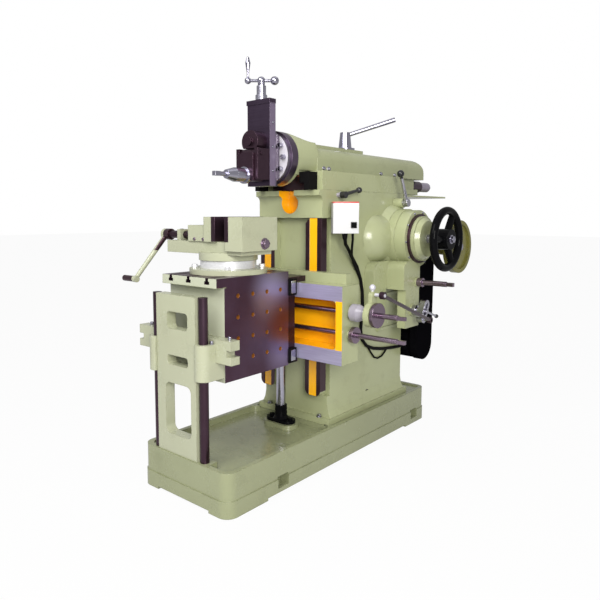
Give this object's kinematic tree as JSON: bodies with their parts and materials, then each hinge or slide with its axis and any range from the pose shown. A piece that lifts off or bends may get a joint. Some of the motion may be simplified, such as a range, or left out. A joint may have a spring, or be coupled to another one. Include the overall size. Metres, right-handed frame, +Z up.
{
  "type": "metal shaping machine",
  "caption": "Horizontal metal shaper: column with reciprocating ram and tool head, cross rail with box table and swivel vise, front table support and belt drive.",
  "frame": {"origin": "floor plane under the middle of the base", "axes": "+Z up, +Y from the table towards the drive, +X towards the handwheel side"},
  "size_m": [1.136, 1.9189, 1.765],
  "materials": {
    "green_paint": "gloss enamel over cast iron",
    "dark_iron": "machined cast iron, lightly oiled",
    "bright_steel": "turned steel",
    "chrome_steel": "polished",
    "black_paint": "black gloss enamel",
    "black_rubber": "matte",
    "white_plastic": "moulded",
    "black_plastic": "moulded"
  },
  "bodies": {
    "frame": {"base_casting": "green_paint", "column_casting": "green_paint", "ram_guides": "green_paint", "ram_wipers": "black_rubber", "oil_tray": "green_paint", "gearbox_cover": "green_paint", "feed_gear_case": "green_paint", "access_cover": "green_paint", "motor_plate": "green_paint", "motor": "black_paint", "belt_guard": "black_paint", "v_belts": "black_rubber", "input_bracket": "green_paint", "switch_box": "white_plastic", "switch_bracket": "green_paint", "switch_cable": "black_rubber", "elevating_pedestal": "black_paint", "support_frame": "green_paint", "guide_bars": "dark_iron", "inner_axles": "bright_steel"},
    "ram": {"ram_casting": "green_paint", "head_collar": "dark_iron", "position_screw": "dark_iron"},
    "lock_lever": {"lock_lever": "bright_steel"},
    "head": {"head_guide": "dark_iron", "swivel_nuts": "bright_steel"},
    "tool_slide": {"tool_slide": "dark_iron", "clapper_box": "dark_iron"},
    "clapper": {"clapper_block": "dark_iron", "tool_post": "bright_steel"},
    "down_feed": {"feed_screw": "bright_steel", "ball_crank": "chrome_steel"},
    "rocker": {"rocker_arm": "green_paint"},
    "bull_gear": {"bull_gear": "dark_iron", "crank_block": "bright_steel"},
    "drive_shaft": {"drive_shaft": "bright_steel", "handwheel": "black_paint"},
    "input_shaft": {"input_shaft": "bright_steel", "flywheel": "green_paint"},
    "motor_rotor": {"motor_pulley": "bright_steel"},
    "rail": {"cross_rail": "green_paint", "rail_keepers": "green_paint"},
    "support_beam": {"support_beam": "green_paint"},
    "elevating_shaft": {"elevating_shaft": "bright_steel"},
    "elevating_screw": {"elevating_screw": "bright_steel"},
    "cross_screw": {"cross_feed_screw": "bright_steel"},
    "ratchet": {"ratchet_lever": "bright_steel"},
    "feed_rod": {"feed_rod": "bright_steel"},
    "feed_crank": {"feed_crank": "chrome_steel"},
    "stroke_shaft": {"stroke_shaft": "bright_steel"},
    "table": {"saddle": "dark_iron", "table": "dark_iron", "vise_base": "green_paint"},
    "vise": {"vise_body": "green_paint"},
    "vise_jaw": {"moving_jaw": "green_paint"},
    "vise_screw": {"vise_screw": "dark_iron", "vise_crank": "green_paint"},
    "clutch_lever": {"clutch_lever": "black_paint"},
    "gib_lever": {"gib_lever": "black_paint"},
    "stop_button": {"stop_button": "black_plastic"}
  },
  "joints": [
    {"name": "ram_stroke", "type": "slide", "parent": "frame", "child": "ram", "axis": [0, 1, 0], "range_m": [-0.5, 0]},
    {"name": "rocker_swing", "type": "hinge", "parent": "frame", "child": "rocker", "pos_m": [0, 0.2654, 0.225], "axis": [1, 0, 0], "range_deg": [0, 26.25]},
    {"name": "bull_gear_spin", "type": "hinge", "parent": "frame", "child": "bull_gear", "pos_m": [0.09, 0.2654, 0.75832], "axis": [1, 0, 0], "continuous": true},
    {"name": "drive_shaft_spin", "type": "hinge", "parent": "frame", "child": "drive_shaft", "pos_m": [0.3, 0.5004, 0.99], "axis": [1, 0, 0], "continuous": true},
    {"name": "input_shaft_spin", "type": "hinge", "parent": "frame", "child": "input_shaft", "pos_m": [0.15, 0.7124, 0.945], "axis": [1, 0, 0], "continuous": true},
    {"name": "motor_spin", "type": "hinge", "parent": "frame", "child": "motor_rotor", "pos_m": [0.23, 0.7044, 0.419], "axis": [1, 0, 0], "continuous": true},
    {"name": "feed_crank_spin", "type": "hinge", "parent": "frame", "child": "feed_crank", "pos_m": [0.34, 0.4404, 0.64], "axis": [1, 0, 0], "continuous": true},
    {"name": "stroke_shaft_turn", "type": "hinge", "parent": "frame", "child": "stroke_shaft", "pos_m": [0.4, 0.4804, 0.775], "axis": [1, 0, 0], "continuous": true},
    {"name": "head_swivel", "type": "hinge", "parent": "ram", "child": "head", "pos_m": [0, -0.2296, 1.35], "axis": [0, 1, 0], "range_deg": [-45, 45]},
    {"name": "tool_slide_feed", "type": "slide", "parent": "head", "child": "tool_slide", "axis": [0, 0, 1], "range_m": [-0.1, 0.08]},
    {"name": "down_feed_turn", "type": "hinge", "parent": "tool_slide", "child": "down_feed", "pos_m": [0, -0.2948, 1.62], "axis": [0, 0, 1], "range_deg": [-6050, 4850]},
    {"name": "clapper_lift", "type": "hinge", "parent": "tool_slide", "child": "clapper", "pos_m": [0, -0.3588, 1.36], "axis": [-1, 0, 0], "range_deg": [0, 30]},
    {"name": "lock_lever_turn", "type": "hinge", "parent": "ram", "child": "lock_lever", "pos_m": [0, 0.3224, 1.43], "axis": [0, 0, 1], "range_deg": [-60, 60]},
    {"name": "rail_lift", "type": "slide", "parent": "frame", "child": "rail", "axis": [0, 0, 1], "range_m": [-0.09, 0.1]},
    {"name": "beam_lift", "type": "slide", "parent": "frame", "child": "support_beam", "axis": [0, 0, 1], "range_m": [-0.0905, 0.1005]},
    {"name": "elevating_turn", "type": "hinge", "parent": "rail", "child": "elevating_shaft", "pos_m": [0.4, -0.1678, 0.617], "axis": [1, 0, 0], "range_deg": [-3250, 3610]},
    {"name": "elevating_screw_turn", "type": "hinge", "parent": "rail", "child": "elevating_screw", "pos_m": [0, -0.1678, 0.5], "axis": [0, 0, 1], "range_deg": [-3250, 3610]},
    {"name": "cross_feed_turn", "type": "hinge", "parent": "rail", "child": "cross_screw", "pos_m": [0.4, -0.1678, 0.71], "axis": [1, 0, 0], "range_deg": [-5450, 7250]},
    {"name": "table_cross", "type": "slide", "parent": "rail", "child": "table", "axis": [1, 0, 0], "range_m": [-0.15, 0.2]},
    {"name": "ratchet_swing", "type": "hinge", "parent": "rail", "child": "ratchet", "pos_m": [0.48, -0.1678, 0.71], "axis": [1, 0, 0], "range_deg": [-20, 20]},
    {"name": "feed_rod_swing", "type": "hinge", "parent": "ratchet", "child": "feed_rod", "pos_m": [0.528, -0.1678, 0.792], "axis": [1, 0, 0], "range_deg": [-20.5, 20.5]},
    {"name": "vise_swivel", "type": "hinge", "parent": "table", "child": "vise", "pos_m": [-0.022, -0.4735, 0.925], "axis": [0, 0, 1], "range_deg": [0, 90]},
    {"name": "vise_jaw_slide", "type": "slide", "parent": "vise", "child": "vise_jaw", "axis": [1, 0, 0], "range_m": [0, 0.052]},
    {"name": "vise_screw_turn", "type": "hinge", "parent": "vise", "child": "vise_screw", "pos_m": [-0.35, -0.4735, 1.0204], "axis": [1, 0, 0], "range_deg": [-1890, 10]},
    {"name": "clutch_throw", "type": "hinge", "parent": "frame", "child": "clutch_lever", "pos_m": [0.25, 0.5054, 1.166], "axis": [1, 0, 0], "range_deg": [-15, 15]},
    {"name": "gib_lever_turn", "type": "hinge", "parent": "frame", "child": "gib_lever", "pos_m": [0.21, 0.0034, 1.195], "axis": [1, 0, 0], "range_deg": [-40, 40]},
    {"name": "stop_button_press", "type": "slide", "parent": "frame", "child": "stop_button", "axis": [-0.7071, 0.7071, 0], "range_m": [0, 0.004], "stiffness_N_per_m": 600}
  ],
  "couplings": [
    {"joint": "rocker_swing", "follows": "ram_stroke", "rad_per_m": -0.9138},
    {"joint": "drive_shaft_spin", "follows": "bull_gear_spin", "ratio": -4.5},
    {"joint": "input_shaft_spin", "follows": "bull_gear_spin", "ratio": 9},
    {"joint": "motor_spin", "follows": "bull_gear_spin", "ratio": 13.5},
    {"joint": "feed_crank_spin", "follows": "bull_gear_spin", "ratio": 1},
    {"joint": "down_feed_turn", "follows": "tool_slide_feed", "rad_per_m": 1047.2},
    {"joint": "beam_lift", "follows": "rail_lift", "ratio": 1},
    {"joint": "elevating_turn", "follows": "rail_lift", "rad_per_m": 628.32},
    {"joint": "elevating_screw_turn", "follows": "rail_lift", "rad_per_m": 628.32},
    {"joint": "cross_feed_turn", "follows": "table_cross", "rad_per_m": 628.32},
    {"joint": "feed_rod_swing", "follows": "ratchet_swing", "ratio": -1},
    {"joint": "vise_screw_turn", "follows": "vise_jaw_slide", "rad_per_m": -628.32}
  ]
}
